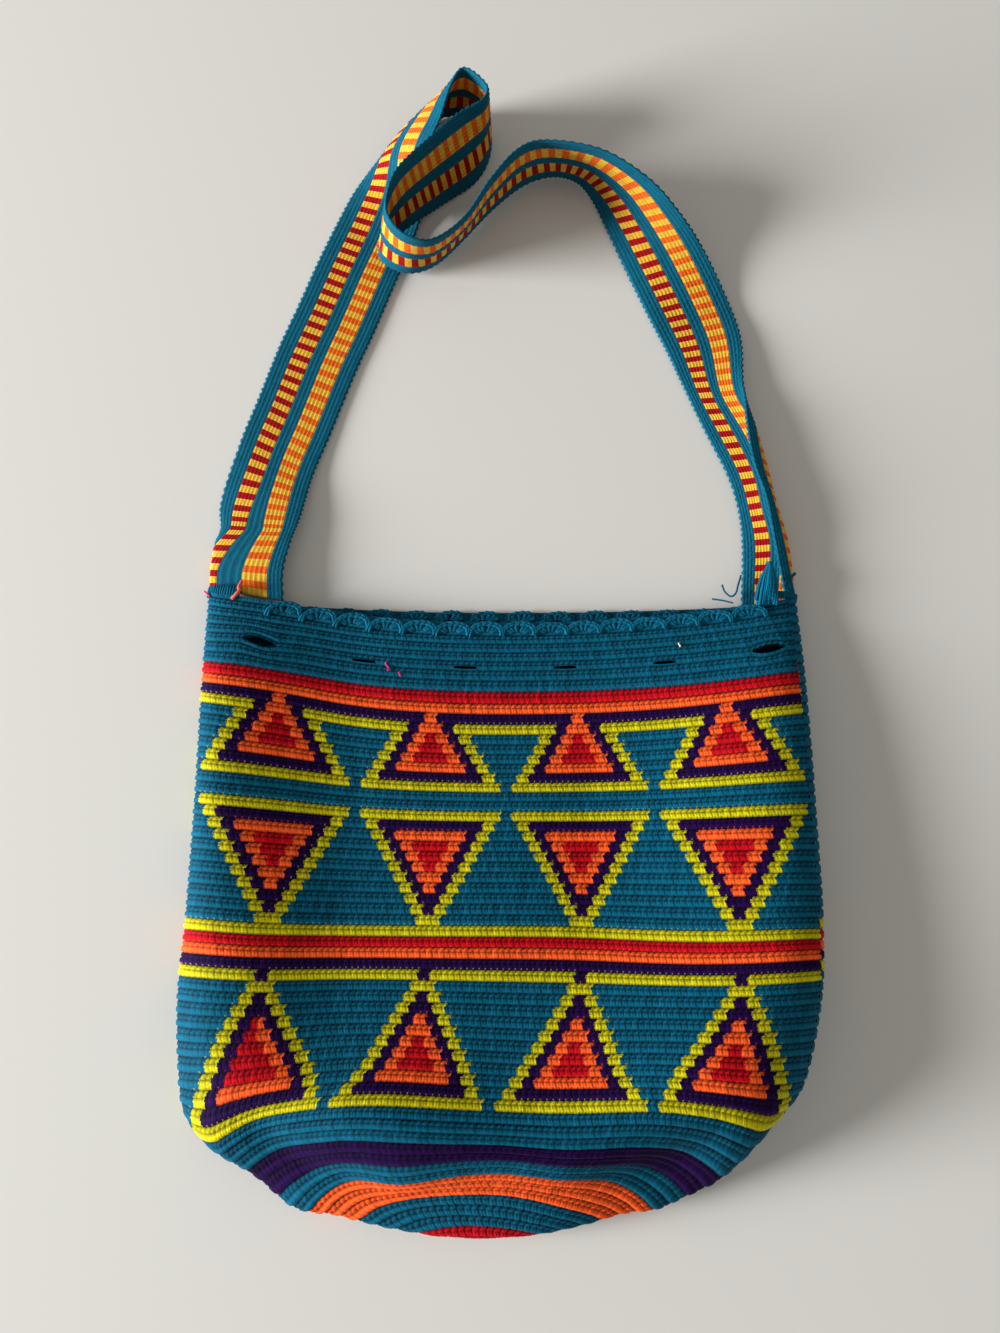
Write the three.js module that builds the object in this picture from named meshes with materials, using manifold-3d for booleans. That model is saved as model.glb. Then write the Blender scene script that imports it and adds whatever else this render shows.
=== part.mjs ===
import * as THREE from 'three';
import Module from 'manifold-3d';

// A crocheted shoulder bag lying on its back, its woven strap laid out above the mouth.
// Millimetres. +Z is up, +Y runs from the round base to the mouth.
// Rounds are counted downwards from the first coloured round: the rim is at -9,
// the wall ends near 40 and the centre of the round base is at 60.

const ROUND_HEIGHT = 4.9;
const CENTRE_ROUND = 60;
const FABRIC = 3;

// The bag by rounds, as [round, millimetres].
const FRONT_Y = [[-9, 140.4], [0, 103.8], [4, 82.1], [12, 44.1], [23, -9.2], [28, -33.6],
  [38, -82], [42, -101], [46, -120]];
const BACK_Y = [[-9, 148], [0, 116], [20, 37], [40, -43], [46, -60]];
const SIDE_Y = [[-9, 156], [0, 116], [12, 50], [23, -10], [30, -44], [38, -89], [42, -108],
  [46, -126]];
const SIDE_TILT = [[-9, -2], [0, -3.5], [12, -3], [23, -2.5], [30, 0], [46, 0]];
const HALF_WIDTH = [[-9, 152.6], [0, 153.2], [12, 152.4], [23, 151.6], [30, 150], [34, 146],
  [38, 139], [42, 128], [46, 110]];
const SIDE_SHIFT = [[-9, -0.4], [4, 0.6], [12, 0.9], [26, -0.4], [34, -4], [42, -9], [60, -9]];
const THICKNESS = [[-9, 12], [0, 14], [12, 18], [23, 25], [38, 40], [42, 45], [46, 47]];
const FOLD_HEIGHT = [[-9, 6], [0, 7], [12, 9], [23, 12], [38, 15], [46, 12]];
const SHOULDER = [[-9, 15], [12, 12], [30, 7], [42, 5], [46, 5]];
const RIDGE = [[-9, 3], [0, 9], [12, 13], [23, 13], [34, 10], [40, 6], [46, 0]];
const EDGE_ROLL = 13;

// Where the soft front lies higher or lower:
// [x, round, reach in x, reach in rounds, y shift, z shift].
const SAGS = [[-115, 0, 40, 14, 2.8, 0], [150, 0, 40, 12, 2, 0], [-150, 24, 30, 10, 2, 0],
  [80, 28, 40, 8, -1.8, 0], [150, 24, 30, 5, 1.5, 0], [-140, 39.5, 26, 3.5, -8.5, 0],
  [-92, 45, 26, 2.6, -6, 0], [-48, 45.8, 20, 3, -5.5, 0], [2, 46, 22, 4.5, 3, 0],
  [100, 43, 34, 4, -5.5, 0], [70, 46, 16, 2, -3, 0], [40, 38.5, 50, 3, 1.8, 0],
  [105, 39, 34, 6, 0, 6], [15, 40, 45, 6, 0, -3.5]];

// The round base is folded across: [distance from the fold, y from the fold, height].
const BASE_FOLD = [[-127, 103, 0], [-60, 48.5, 0], [-22, 17, 0], [-12, 8.4, 0.9], [-5, 2.6, 3.6],
  [0, 0.4, 7.4], [5, 1.4, 11.8], [10, 6.2, 15.4], [25, 20.5, 23.6], [40, 31.2, 36], [50, 38.5, 42],
  [60, 46.5, 46], [75, 60, 46.5]];
const FOLD_FROM_CENTRE = 29;
const FOLD_Y = -146.4;
const FOLD_BEND = 0.0026;
const BASE_STRETCH = 1.29;

// Eyelets: twelve, evenly spaced by stitches round the rim, counted from the front centre.
const STITCHES = 216;
const FOLD_COLUMN = 54;
const EYELETS = 12;
const FIRST_EYELET = -42.6;
const EYELET_ROUND = -2.8;
const EYELET_LENGTH = 13;
const EYELET_GAP = 3.5;

// Strap: stations from the left end to the right end,
// as red-striped edge, orange-striped edge and how far the section bows.
const STRAP_THICKNESS = 2.2;
const STRAP_STATIONS = [
  [[-138, 156.2, 1.6], [-113, 152.2, 10.4], [-25.5, 5.6, 0]],
  [[-140, 173, 1.8], [-114, 169, 10], [-24, 2, 0]],
  [[-147, 190, 1.6], [-111, 186, 8.5], [-17, 0, 0.5]],
  [[-151.5, 208, 1.5], [-107, 200, 7], [-1, 0, 1]],
  [[-143, 245, 1.4], [-102, 225, 3.5], [0, 0, 0]],
  [[-135, 270, 1.4], [-94, 249, 2], [0, 0, 0]],
  [[-125, 302, 1.4], [-82, 285, 1.6], [0, 0, 0]],
  [[-115, 329, 1.4], [-72, 311, 1.6], [0, 0, 0]],
  [[-105, 357, 1.4], [-62, 339, 1.6], [0, 0, 0]],
  [[-95, 382, 1.4], [-52, 366, 2.6], [0, 0, 0]],
  [[-86, 402, 1.4], [-45, 387, 9], [0, 0, 1]],
  [[-74, 420, 1.4], [-42, 404, 30], [-3, 2, 3]],
  [[-60, 437, 1.4], [-34, 420, 37], [-4, 3, 3]],
  [[-43, 450, 0.8], [-28, 437, 43], [-2, 2, 1]],
  [[-23, 455, 0.5], [-21, 446, 45.5], [0, 0, 0]],
  [[-9, 444, 0.5], [-9, 435, 45.5], [0, 0, 0]],
  [[-8, 426, 0.5], [-11, 425, 46.3], [0, 0, 0]],
  [[-16, 409, 0.5], [-24, 417, 45.5], [0, 0, 0]],
  [[-34, 393, 2.5], [-41, 398, 47.5], [0, 0, 0]],
  [[-52, 374, 9], [-56, 374, 54], [0, 0, 0]],
  [[-69, 360, 6], [-61, 357, 51], [0, 0, 0]],
  [[-65, 351, 5.2], [-58, 346, 50.5], [0, 0, 0]],
  [[-52, 347, 4.6], [-49, 338, 49.5], [0, 0, 0]],
  [[-38, 354, 2.2], [-36, 339, 45.8], [0, 0, 0]],
  [[-23, 371, 0.7], [-20, 354, 43.5], [0, 0, 0]],
  [[-6, 391, 0.6], [-6, 377, 44.5], [0, 0, 0]],
  [[12, 407, 0.6], [9, 395, 45.2], [0, 0, 0]],
  [[29, 413, 0.6], [25, 400, 44.8], [0, 0, 0]],
  [[43, 409, 0.7], [54, 395, 43.5], [0, 0, 0]],
  [[52, 396, 1], [80, 384, 35], [0, 0, 0]],
  [[60, 376, 1.4], [98, 371, 24], [0, 0, 0]],
  [[70, 350, 1.4], [112, 358, 12], [0, 0, 0]],
  [[81, 323, 1.4], [125, 334, 4], [0, 0, 0]],
  [[91, 300, 1.4], [132, 307, 5], [2, 0, 0]],
  [[100, 277, 1.4], [131, 277, 9], [7, 0, 0]],
  [[110, 252, 1.4], [130, 252, 13], [13, 0, 0]],
  [[121, 226, 1.6], [132, 227, 15], [13, 0, 0]],
  [[126, 205, 1.8], [137, 207, 16], [11, 0, 0]],
  [[127, 184, 1.8], [140, 184, 15], [14, 0, 0]],
  [[124, 155.6, 1.6], [146, 155.4, 6.5], [14, 0.4, 0]],
];

// Yarn that joins the strap to the rim, and the tied-off thread ends.
const YARN_RADIUS = 1;
const LEFT_JOIN = [[-114, 152.4, 13.6], [-126, 154.6, 13.6], [-140, 157.2, 13.2],
  [-150.5, 158.8, 11], [-155.2, 159.2, 6.5]];
const RIGHT_JOIN = [[141, 155.4, 13.4], [147, 155.4, 12.4], [151.6, 155.2, 10.2], [154.2, 155, 6.5]];
const TUFT_TOP = [137.5, 170, 17.6];
const TUFT_END = [132.5, 150, 17.4];

// A smooth curve through [x, value...] points, straight on beyond both ends.
function through(points, x) {
  const last = points.length - 1;
  const slope = (i, k) => (points[i + 1][k] - points[i][k]) / (points[i + 1][0] - points[i][0]);
  const tangent = (i, k) => {
    if (i === 0) return slope(0, k);
    if (i === last) return slope(last - 1, k);
    const before = points[i][0] - points[i - 1][0];
    const after = points[i + 1][0] - points[i][0];
    return (slope(i - 1, k) * after + slope(i, k) * before) / (before + after);
  };
  let i = 0;
  while (i < last - 1 && x >= points[i + 1][0]) i += 1;
  const h = points[i + 1][0] - points[i][0];
  const beyond = Math.min(0, x - points[0][0]) + Math.max(0, x - points[last][0]);
  const t = Math.min(1, Math.max(0, (x - points[i][0]) / h));
  const end = beyond < 0 ? 0 : last;
  return points[i].slice(1).map((_, j) => {
    const k = j + 1;
    return (2 * t ** 3 - 3 * t ** 2 + 1) * points[i][k]
      + (t ** 3 - 2 * t ** 2 + t) * h * tangent(i, k)
      + (3 * t ** 2 - 2 * t ** 3) * points[i + 1][k]
      + (t ** 3 - t ** 2) * h * tangent(i + 1, k)
      + beyond * tangent(end, k);
  });
}

const at = (points, x) => through(points, x)[0];
const { lerp, smoothstep } = THREE.MathUtils;

// around: 0 at the front centre, -1 and 1 at the side folds, 2 at the back centre.
function wallPoint(around, round) {
  const front = Math.abs(around) <= 1;
  const s = front ? around : Math.sign(around) * (2 - Math.abs(around));
  const e = Math.abs(s);
  const spread = (EDGE_ROLL * s - s * e ** (EDGE_ROLL - 1)) / (EDGE_ROLL - 1);
  const x = at(SIDE_SHIFT, round) + at(HALF_WIDTH, round) * spread;
  const foldZ = at(FOLD_HEIGHT, round);
  const sideY = at(SIDE_Y, round) + at(SIDE_TILT, round) * Math.sign(s);
  const midY = at(front ? FRONT_Y : BACK_Y, round);
  const y = midY + (sideY - midY) * e ** (front ? 2 : 2.2);
  if (!front) return new THREE.Vector3(x, y, foldZ * e ** EDGE_ROLL);
  const hollow = smoothstep(s, -0.92, -0.42) * (1 - smoothstep(s, 0.2, 0.92));
  const rise = at(THICKNESS, round) + at(RIDGE, round) * (1 - hollow) - foldZ;
  return new THREE.Vector3(x, y, foldZ + rise * (1 - e ** at(SHOULDER, round)));
}

function basePoint(around, round) {
  const radius = (CENTRE_ROUND - round) * ROUND_HEIGHT;
  const angle = around * Math.PI / 2;
  const x = BASE_STRETCH * radius * Math.sin(angle);
  const [rise, height] = through(BASE_FOLD, radius * Math.cos(angle) - FOLD_FROM_CENTRE);
  return new THREE.Vector3(x + at(SIDE_SHIFT, round), FOLD_Y + FOLD_BEND * x * x + rise, height);
}

function bagPoint(around, round) {
  const w = smoothstep(round, 35, 45);
  const point = wallPoint(around, Math.min(round, 46));
  point.lerp(basePoint(around, Math.max(round, 33)), w);
  const onFront = 1 - smoothstep(Math.abs(around), 0.98, 1.3);
  const x = point.x;
  for (const [middle, level, reach, rounds, sag, lift] of SAGS) {
    const away = ((x - middle) / reach) ** 2 + ((round - level) / rounds) ** 2;
    point.y += onFront * sag * Math.exp(-away);
    point.z += onFront * lift * Math.exp(-away);
  }
  return point;
}

function innerPoint(around, round) {
  const step = 0.02;
  const wrap = (q) => (q > 2 ? q - 4 : q < -2 ? q + 4 : q);
  const along = bagPoint(around, round + step).sub(bagPoint(around, round - step));
  const across = bagPoint(wrap(around + step), round).sub(bagPoint(wrap(around - step), round));
  const inward = across.cross(along).normalize();
  return bagPoint(around, round).addScaledVector(inward, FABRIC);
}

// A closed solid from rings of equal count, each ring listed there and back.
function solidFromRings(rings) {
  const count = rings[0].length;
  const positions = rings.flat().flatMap((p) => [p.x, p.y, p.z]);
  const spot = (k) => new THREE.Vector3().fromArray(positions, 3 * k);
  const index = [];
  for (let r = 0; r < rings.length - 1; r += 1) {
    for (let i = 0; i < count; i += 1) {
      const a = r * count + i;
      const b = r * count + (i + 1) % count;
      const c = b + count;
      const d = a + count;
      if (spot(a).distanceTo(spot(c)) < spot(b).distanceTo(spot(d))) index.push(a, b, c, a, c, d);
      else index.push(a, b, d, b, c, d);
    }
  }
  const last = (rings.length - 1) * count;
  for (let i = 0; i < count / 2 - 1; i += 1) {
    const j = count - 1 - i;
    index.push(i, j, j - 1, i, j - 1, i + 1);
    index.push(last + i, last + j - 1, last + j, last + i, last + i + 1, last + j - 1);
  }
  let volume = 0;
  for (let k = 0; k < index.length; k += 3) {
    volume += spot(index[k]).dot(spot(index[k + 1]).cross(spot(index[k + 2])));
  }
  if (volume < 0) index.reverse();
  const geometry = new THREE.BufferGeometry();
  geometry.setAttribute('position', new THREE.Float32BufferAttribute(positions, 3));
  geometry.setIndex(index);
  return geometry;
}

const wasm = await Module();
wasm.setup();

function toManifold(geometry) {
  return new wasm.Manifold(new wasm.Mesh({
    numProp: 3,
    vertProperties: new Float32Array(geometry.attributes.position.array),
    triVerts: new Uint32Array(geometry.index.array),
  }));
}

function toGeometry(manifold) {
  const mesh = manifold.getMesh();
  const geometry = new THREE.BufferGeometry();
  geometry.setAttribute('position', new THREE.BufferAttribute(mesh.vertProperties, 3));
  geometry.setIndex(new THREE.BufferAttribute(mesh.triVerts, 1));
  return geometry;
}

// Stitches lie a little closer together towards the side folds.
function aroundAt(column) {
  const c = Math.abs(column);
  const front = Math.min(c / FOLD_COLUMN, 1);
  const back = Math.max(0, c - FOLD_COLUMN) / (STITCHES / 2 - FOLD_COLUMN);
  return Math.sign(column) * (0.927 * front + 0.073 * front ** 9 + back);
}

function eyeletCutter(around) {
  const front = Math.abs(around) <= 1;
  const spot = bagPoint(around, EYELET_ROUND);
  const half = EYELET_LENGTH / 2;
  const ring = (z) => [-1, -0.5, 0, 0.5, 1, 0.5, 0, -0.5].map((f, i) => {
    const side = i < 5 ? 1 : -1;
    const bow = Math.max(0.12, 1 - f * f);
    const y = spot.y + side * bow * EYELET_GAP / 2;
    return new THREE.Vector3(spot.x + f * half, y, z);
  });
  const middle = at(THICKNESS, EYELET_ROUND) / 2;
  return solidFromRings(front ? [ring(middle), ring(middle * 4)] : [ring(-middle), ring(middle)]);
}

// Bag body
const HALF_RING = [-1, -0.985, -0.955, -0.91, -0.85, -0.76, -0.64, -0.48, -0.32, -0.16, 0, 0.16,
  0.32, 0.48, 0.64, 0.76, 0.85, 0.91, 0.955, 0.985];
const EVEN_RING = HALF_RING.map((_, i) => -1 + 2 * i / HALF_RING.length);

function ringAround(round) {
  const even = smoothstep(round, 34, 44);
  const half = HALF_RING.map((s, i) => lerp(s, EVEN_RING[i], even));
  return [...half, ...half.map((s) => 2 + s)].map((q) => (q > 2 ? q - 4 : q));
}

const ROUNDS = [-9, -6, -3, 0, 4, 8, 12, 16, 20, 24, 28, 32, 35, 37.5, 39.5, 41, 42.5, 44, 45.5, 47,
  48.5, 50, 51.5, 53, 54.5, 56, 58, 59.5];
const outer = ROUNDS.map((v) => ringAround(v).map((q) => bagPoint(q, v))).reverse();
const inner = ROUNDS.map((v) => ringAround(v).map((q) => innerPoint(q, v)));
let body = toManifold(solidFromRings([...outer, ...inner]));
for (let i = 0; i < EYELETS; i += 1) {
  const column = FIRST_EYELET + STITCHES * i / EYELETS;
  const nearest = column > STITCHES / 2 ? column - STITCHES : column;
  body = body.subtract(toManifold(eyeletCutter(aroundAt(nearest))));
}

// Strap
const curve = (k) => new THREE.CatmullRomCurve3(
  STRAP_STATIONS.map((station) => new THREE.Vector3(...station[k])), false, 'catmullrom', 0.5);
const redEdge = curve(0);
const orangeEdge = curve(1);
const bow = curve(2);
const ACROSS = [0, 0.2, 0.4, 0.6, 0.8, 1];

function strapPoint(t, f) {
  return redEdge.getPoint(t).lerp(orangeEdge.getPoint(t), f)
    .addScaledVector(bow.getPoint(t), 4 * f * (1 - f));
}

function strapRing(t) {
  const step = 1e-3;
  const side = (sign) => ACROSS.map((f) => {
    const along = strapPoint(Math.min(1, t + step), f).sub(strapPoint(Math.max(0, t - step), f));
    const across = strapPoint(t, f + step).sub(strapPoint(t, f - step));
    const normal = across.cross(along).normalize();
    return strapPoint(t, f).addScaledVector(normal, sign * STRAP_THICKNESS / 2);
  });
  return [...side(1), ...side(-1).reverse()];
}

const strapSteps = 2 * (STRAP_STATIONS.length - 1);
const strap = solidFromRings(
  Array.from({ length: strapSteps + 1 }, (_, i) => strapRing(i / strapSteps)));

// Joining yarn and thread ends
function yarn(points) {
  const section = new THREE.Shape();
  section.absarc(0, 0, YARN_RADIUS, 0, 2 * Math.PI, false);
  const path = new THREE.CatmullRomCurve3(points.map((p) => new THREE.Vector3(...p)));
  return new THREE.ExtrudeGeometry(section, { steps: 12, curveSegments: 4, extrudePath: path });
}

function tuftRing(f) {
  const middle = new THREE.Vector3(...TUFT_TOP).lerp(new THREE.Vector3(...TUFT_END), f);
  const halfWidth = 1.6 + 4 * f;
  return Array.from({ length: 10 }, (_, i) => {
    const angle = (i + 0.5) * Math.PI / 5;
    return new THREE.Vector3(middle.x + halfWidth * Math.cos(angle), middle.y,
      middle.z + 1.1 * Math.sin(angle));
  });
}

const tuft = solidFromRings([0, 0.25, 0.5, 0.75, 1].map(tuftRing));

function part(name, geometry, color, roughness) {
  const mesh = new THREE.Mesh(geometry,
    new THREE.MeshStandardMaterial({ color, roughness, metalness: 0 }));
  mesh.name = name;
  return mesh;
}

const bag = new THREE.Group();
bag.name = 'wayuu_mochila_bag';
bag.add(part('bag_body', toGeometry(body), 0x14708c, 0.9));
bag.add(part('shoulder_strap', strap, 0xc8742c, 0.9));
bag.add(part('left_joining_yarn', yarn(LEFT_JOIN), 0x0f5f78, 0.9));
bag.add(part('right_joining_yarn', yarn(RIGHT_JOIN), 0x0f5f78, 0.9));
bag.add(part('yarn_tuft', tuft, 0x14708c, 0.9));

export default bag;
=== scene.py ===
import math

import bpy
import numpy as np
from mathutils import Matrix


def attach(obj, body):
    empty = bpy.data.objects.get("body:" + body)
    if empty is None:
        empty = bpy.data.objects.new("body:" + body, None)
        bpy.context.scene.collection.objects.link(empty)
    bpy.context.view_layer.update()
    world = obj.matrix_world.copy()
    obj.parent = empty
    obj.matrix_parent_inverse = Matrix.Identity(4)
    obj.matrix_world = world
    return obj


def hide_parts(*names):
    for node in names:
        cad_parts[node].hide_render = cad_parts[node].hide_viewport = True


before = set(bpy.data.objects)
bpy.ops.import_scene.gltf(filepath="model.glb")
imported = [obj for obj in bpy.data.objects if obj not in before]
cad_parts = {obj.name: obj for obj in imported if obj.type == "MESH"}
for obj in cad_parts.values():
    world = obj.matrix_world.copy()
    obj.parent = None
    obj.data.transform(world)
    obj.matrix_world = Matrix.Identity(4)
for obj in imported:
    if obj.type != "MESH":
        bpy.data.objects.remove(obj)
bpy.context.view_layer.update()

MM = 0.001

# Yarn colours, linear RGB.
TEAL, LIME, PURPLE, ORANGE, RED = range(5)
YARN = np.array([
    (0.001, 0.100, 0.180),
    (0.560, 0.510, 0.006),
    (0.015, 0.001, 0.050),
    (1.000, 0.115, 0.020),
    (0.520, 0.003, 0.010),
])
WARP_TEAL, WARP_RED, WARP_ORANGE, WARP_YELLOW = range(4)
WARP_YARN = np.array([
    (0.004, 0.125, 0.210),
    (0.400, 0.006, 0.010),
    (0.900, 0.150, 0.014),
    (0.900, 0.520, 0.050),
])
SALMON = np.array((0.78, 0.13, 0.09))
PINK = np.array((0.55, 0.03, 0.16))
CREAM = np.array((0.75, 0.66, 0.48))

# The bag by rounds, counted downwards from the first coloured round: (round, millimetres).
ROUND_HEIGHT = 4.9
FABRIC = 3.0
FRONT_Y = [(-9, 140.4), (0, 103.8), (4, 82.1), (12, 44.1), (23, -9.2), (28, -33.6), (38, -82),
           (42, -101), (46, -120)]
BACK_Y = [(-9, 148), (0, 116), (20, 37), (40, -43), (46, -60)]
SIDE_Y = [(-9, 156), (0, 116), (12, 50), (23, -10), (30, -44), (38, -89), (42, -108), (46, -126)]
SIDE_TILT = [(-9, -2), (0, -3.5), (12, -3), (23, -2.5), (30, 0), (46, 0)]
HALF_WIDTH = [(-9, 152.6), (0, 153.2), (12, 152.4), (23, 151.6), (30, 150), (34, 146), (38, 139),
              (42, 128), (46, 110)]
SIDE_SHIFT = [(-9, -0.4), (4, 0.6), (12, 0.9), (26, -0.4), (34, -4), (42, -9), (60, -9)]
THICKNESS = [(-9, 12), (0, 14), (12, 18), (23, 25), (38, 40), (42, 45), (46, 47)]
FOLD_HEIGHT = [(-9, 6), (0, 7), (12, 9), (23, 12), (38, 15), (46, 12)]
SHOULDER = [(-9, 15), (12, 12), (30, 7), (42, 5), (46, 5)]
RIDGE = [(-9, 3), (0, 9), (12, 13), (23, 13), (34, 10), (40, 6), (46, 0)]
EDGE_ROLL = 13
BASE_FOLD = [(-127, 103, 0), (-60, 48.5, 0), (-22, 17, 0), (-12, 8.4, 0.9), (-5, 2.6, 3.6),
             (0, 0.4, 7.4), (5, 1.4, 11.8), (10, 6.2, 15.4), (25, 20.5, 23.6), (40, 31.2, 36),
             (50, 38.5, 42), (60, 46.5, 46), (75, 60, 46.5)]
FOLD_FROM_CENTRE = 29
FOLD_Y = -146.4
FOLD_BEND = 0.0026
BASE_STRETCH = 1.29
CENTRE_ROUND = 60
RIM_LEVEL, WALL_LEVEL, WALL_END = -9, 46, 40

# Where the soft front lies higher or lower:
# x, round, reach in x, reach in rounds, y shift, z shift.
SAGS = [(-115, 0, 40, 14, 2.8, 0), (150, 0, 40, 12, 2, 0), (-150, 24, 30, 10, 2, 0),
        (80, 28, 40, 8, -1.8, 0), (150, 24, 30, 5, 1.5, 0), (-140, 39.5, 26, 3.5, -8.5, 0),
        (-92, 45, 26, 2.6, -6, 0), (-48, 45.8, 20, 3, -5.5, 0), (2, 46, 22, 4.5, 3, 0),
        (100, 43, 34, 4, -5.5, 0), (70, 46, 16, 2, -3, 0), (40, 38.5, 50, 3, 1.8, 0),
        (105, 39, 34, 6, 0, 6), (15, 40, 45, 6, 0, -3.5)]

# Strap stations from left to right: red-striped edge, orange-striped edge, bow of the section.
STRAP_THICKNESS = 2.2
STRAP_STATIONS = [
    ((-138, 156.2, 1.6), (-113, 152.2, 10.4), (-25.5, 5.6, 0)),
    ((-140, 173, 1.8), (-114, 169, 10), (-24, 2, 0)),
    ((-147, 190, 1.6), (-111, 186, 8.5), (-17, 0, 0.5)),
    ((-151.5, 208, 1.5), (-107, 200, 7), (-1, 0, 1)),
    ((-143, 245, 1.4), (-102, 225, 3.5), (0, 0, 0)),
    ((-135, 270, 1.4), (-94, 249, 2), (0, 0, 0)),
    ((-125, 302, 1.4), (-82, 285, 1.6), (0, 0, 0)),
    ((-115, 329, 1.4), (-72, 311, 1.6), (0, 0, 0)),
    ((-105, 357, 1.4), (-62, 339, 1.6), (0, 0, 0)),
    ((-95, 382, 1.4), (-52, 366, 2.6), (0, 0, 0)),
    ((-86, 402, 1.4), (-45, 387, 9), (0, 0, 1)),
    ((-74, 420, 1.4), (-42, 404, 30), (-3, 2, 3)),
    ((-60, 437, 1.4), (-34, 420, 37), (-4, 3, 3)),
    ((-43, 450, 0.8), (-28, 437, 43), (-2, 2, 1)),
    ((-23, 455, 0.5), (-21, 446, 45.5), (0, 0, 0)),
    ((-9, 444, 0.5), (-9, 435, 45.5), (0, 0, 0)),
    ((-8, 426, 0.5), (-11, 425, 46.3), (0, 0, 0)),
    ((-16, 409, 0.5), (-24, 417, 45.5), (0, 0, 0)),
    ((-34, 393, 2.5), (-41, 398, 47.5), (0, 0, 0)),
    ((-52, 374, 9), (-56, 374, 54), (0, 0, 0)),
    ((-69, 360, 6), (-61, 357, 51), (0, 0, 0)),
    ((-65, 351, 5.2), (-58, 346, 50.5), (0, 0, 0)),
    ((-52, 347, 4.6), (-49, 338, 49.5), (0, 0, 0)),
    ((-38, 354, 2.2), (-36, 339, 45.8), (0, 0, 0)),
    ((-23, 371, 0.7), (-20, 354, 43.5), (0, 0, 0)),
    ((-6, 391, 0.6), (-6, 377, 44.5), (0, 0, 0)),
    ((12, 407, 0.6), (9, 395, 45.2), (0, 0, 0)),
    ((29, 413, 0.6), (25, 400, 44.8), (0, 0, 0)),
    ((43, 409, 0.7), (54, 395, 43.5), (0, 0, 0)),
    ((52, 396, 1), (80, 384, 35), (0, 0, 0)),
    ((60, 376, 1.4), (98, 371, 24), (0, 0, 0)),
    ((70, 350, 1.4), (112, 358, 12), (0, 0, 0)),
    ((81, 323, 1.4), (125, 334, 4), (0, 0, 0)),
    ((91, 300, 1.4), (132, 307, 5), (2, 0, 0)),
    ((100, 277, 1.4), (131, 277, 9), (7, 0, 0)),
    ((110, 252, 1.4), (130, 252, 13), (13, 0, 0)),
    ((121, 226, 1.6), (132, 227, 15), (13, 0, 0)),
    ((126, 205, 1.8), (137, 207, 16), (11, 0, 0)),
    ((127, 184, 1.8), (140, 184, 15), (14, 0, 0)),
    ((124, 151.4, 4.4), (146, 153.4, 8), (14, 0.4, 0)),
]


def through(points, x):
    """A smooth curve through (x, value...) points, straight on beyond both ends."""
    table = np.asarray(points, float)
    knots, values = table[:, 0], table[:, 1:]
    x = np.asarray(x, float)
    i = np.clip(np.searchsorted(knots, x, side="right") - 1, 0, len(knots) - 2)
    step = np.diff(knots)[:, None]
    slope = np.diff(values, axis=0) / step
    tangent = np.vstack([slope[:1], (slope[:-1] * step[1:] + slope[1:] * step[:-1])
                         / (step[1:] + step[:-1]), slope[-1:]])
    h = step[i]
    t = np.clip((x - knots[i])[..., None] / h, 0, 1)
    out = ((2 * t**3 - 3 * t**2 + 1) * values[i] + (t**3 - 2 * t**2 + t) * h * tangent[i]
           + (3 * t**2 - 2 * t**3) * values[i + 1] + (t**3 - t**2) * h * tangent[i + 1])
    before = np.minimum(0, x - knots[0])[..., None]
    after = np.maximum(0, x - knots[-1])[..., None]
    out = out + before * tangent[0] + after * tangent[-1]
    return out[..., 0] if out.shape[-1] == 1 else out


def smoothstep(x, low, high):
    t = np.clip((x - low) / (high - low), 0, 1)
    return t * t * (3 - 2 * t)


def uneven(a, b):
    """Repeatable uneven values in -1..1."""
    v = np.sin(a * 12.9898 + b * 78.233) * 43758.5453
    return 2 * (v - np.floor(v)) - 1


# Bag surface

def wall_point(around, level):
    """around: 0 at the front centre, -1 and 1 at the side folds, 2 at the back centre."""
    front = np.abs(around) <= 1
    s = np.where(front, around, np.sign(around) * (2 - np.abs(around)))
    e = np.abs(s)
    spread = (EDGE_ROLL * s - s * e**(EDGE_ROLL - 1)) / (EDGE_ROLL - 1)
    x = through(SIDE_SHIFT, level) + through(HALF_WIDTH, level) * spread
    fold_z = through(FOLD_HEIGHT, level)
    side_y = through(SIDE_Y, level) + through(SIDE_TILT, level) * np.sign(s)
    front_y, back_y = through(FRONT_Y, level), through(BACK_Y, level)
    y = np.where(front, front_y + (side_y - front_y) * e**2, back_y + (side_y - back_y) * e**2.2)
    hollow = smoothstep(s, -0.92, -0.42) * (1 - smoothstep(s, 0.2, 0.92))
    rise = through(THICKNESS, level) + through(RIDGE, level) * (1 - hollow) - fold_z
    top = fold_z + rise * (1 - e**through(SHOULDER, level))
    return np.stack([x, y, np.where(front, top, fold_z * e**EDGE_ROLL)], -1)


def base_point(around, level):
    radius = (CENTRE_ROUND - level) * ROUND_HEIGHT
    angle = around * np.pi / 2
    x = BASE_STRETCH * radius * np.sin(angle)
    fold = through(BASE_FOLD, radius * np.cos(angle) - FOLD_FROM_CENTRE)
    return np.stack([x + through(SIDE_SHIFT, level), FOLD_Y + FOLD_BEND * x**2 + fold[..., 0],
                     fold[..., 1]], -1)


def sway(point):
    """Low waves in y and z where the soft front lies unevenly, none on the flat back."""
    x, y, z = np.moveaxis(point, -1, 0)
    lift = smoothstep(z, 8, 20)
    low = smoothstep(-y, 10, 95)
    bump = (np.exp(-((x + 62) / 38)**2) - 0.5 * np.exp(-((x - 22) / 34)**2)
            + 0.55 * np.exp(-((x - 78) / 30)**2))
    soft = (np.sin(x / 23 + y / 41 + 1.3) + np.sin(y / 19 - x / 57 + 0.4)
            + 0.7 * np.sin(x / 14 - y / 31 + 2.1)) * 0.35
    return 4.0 * lift * low * bump, lift * soft


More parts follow.
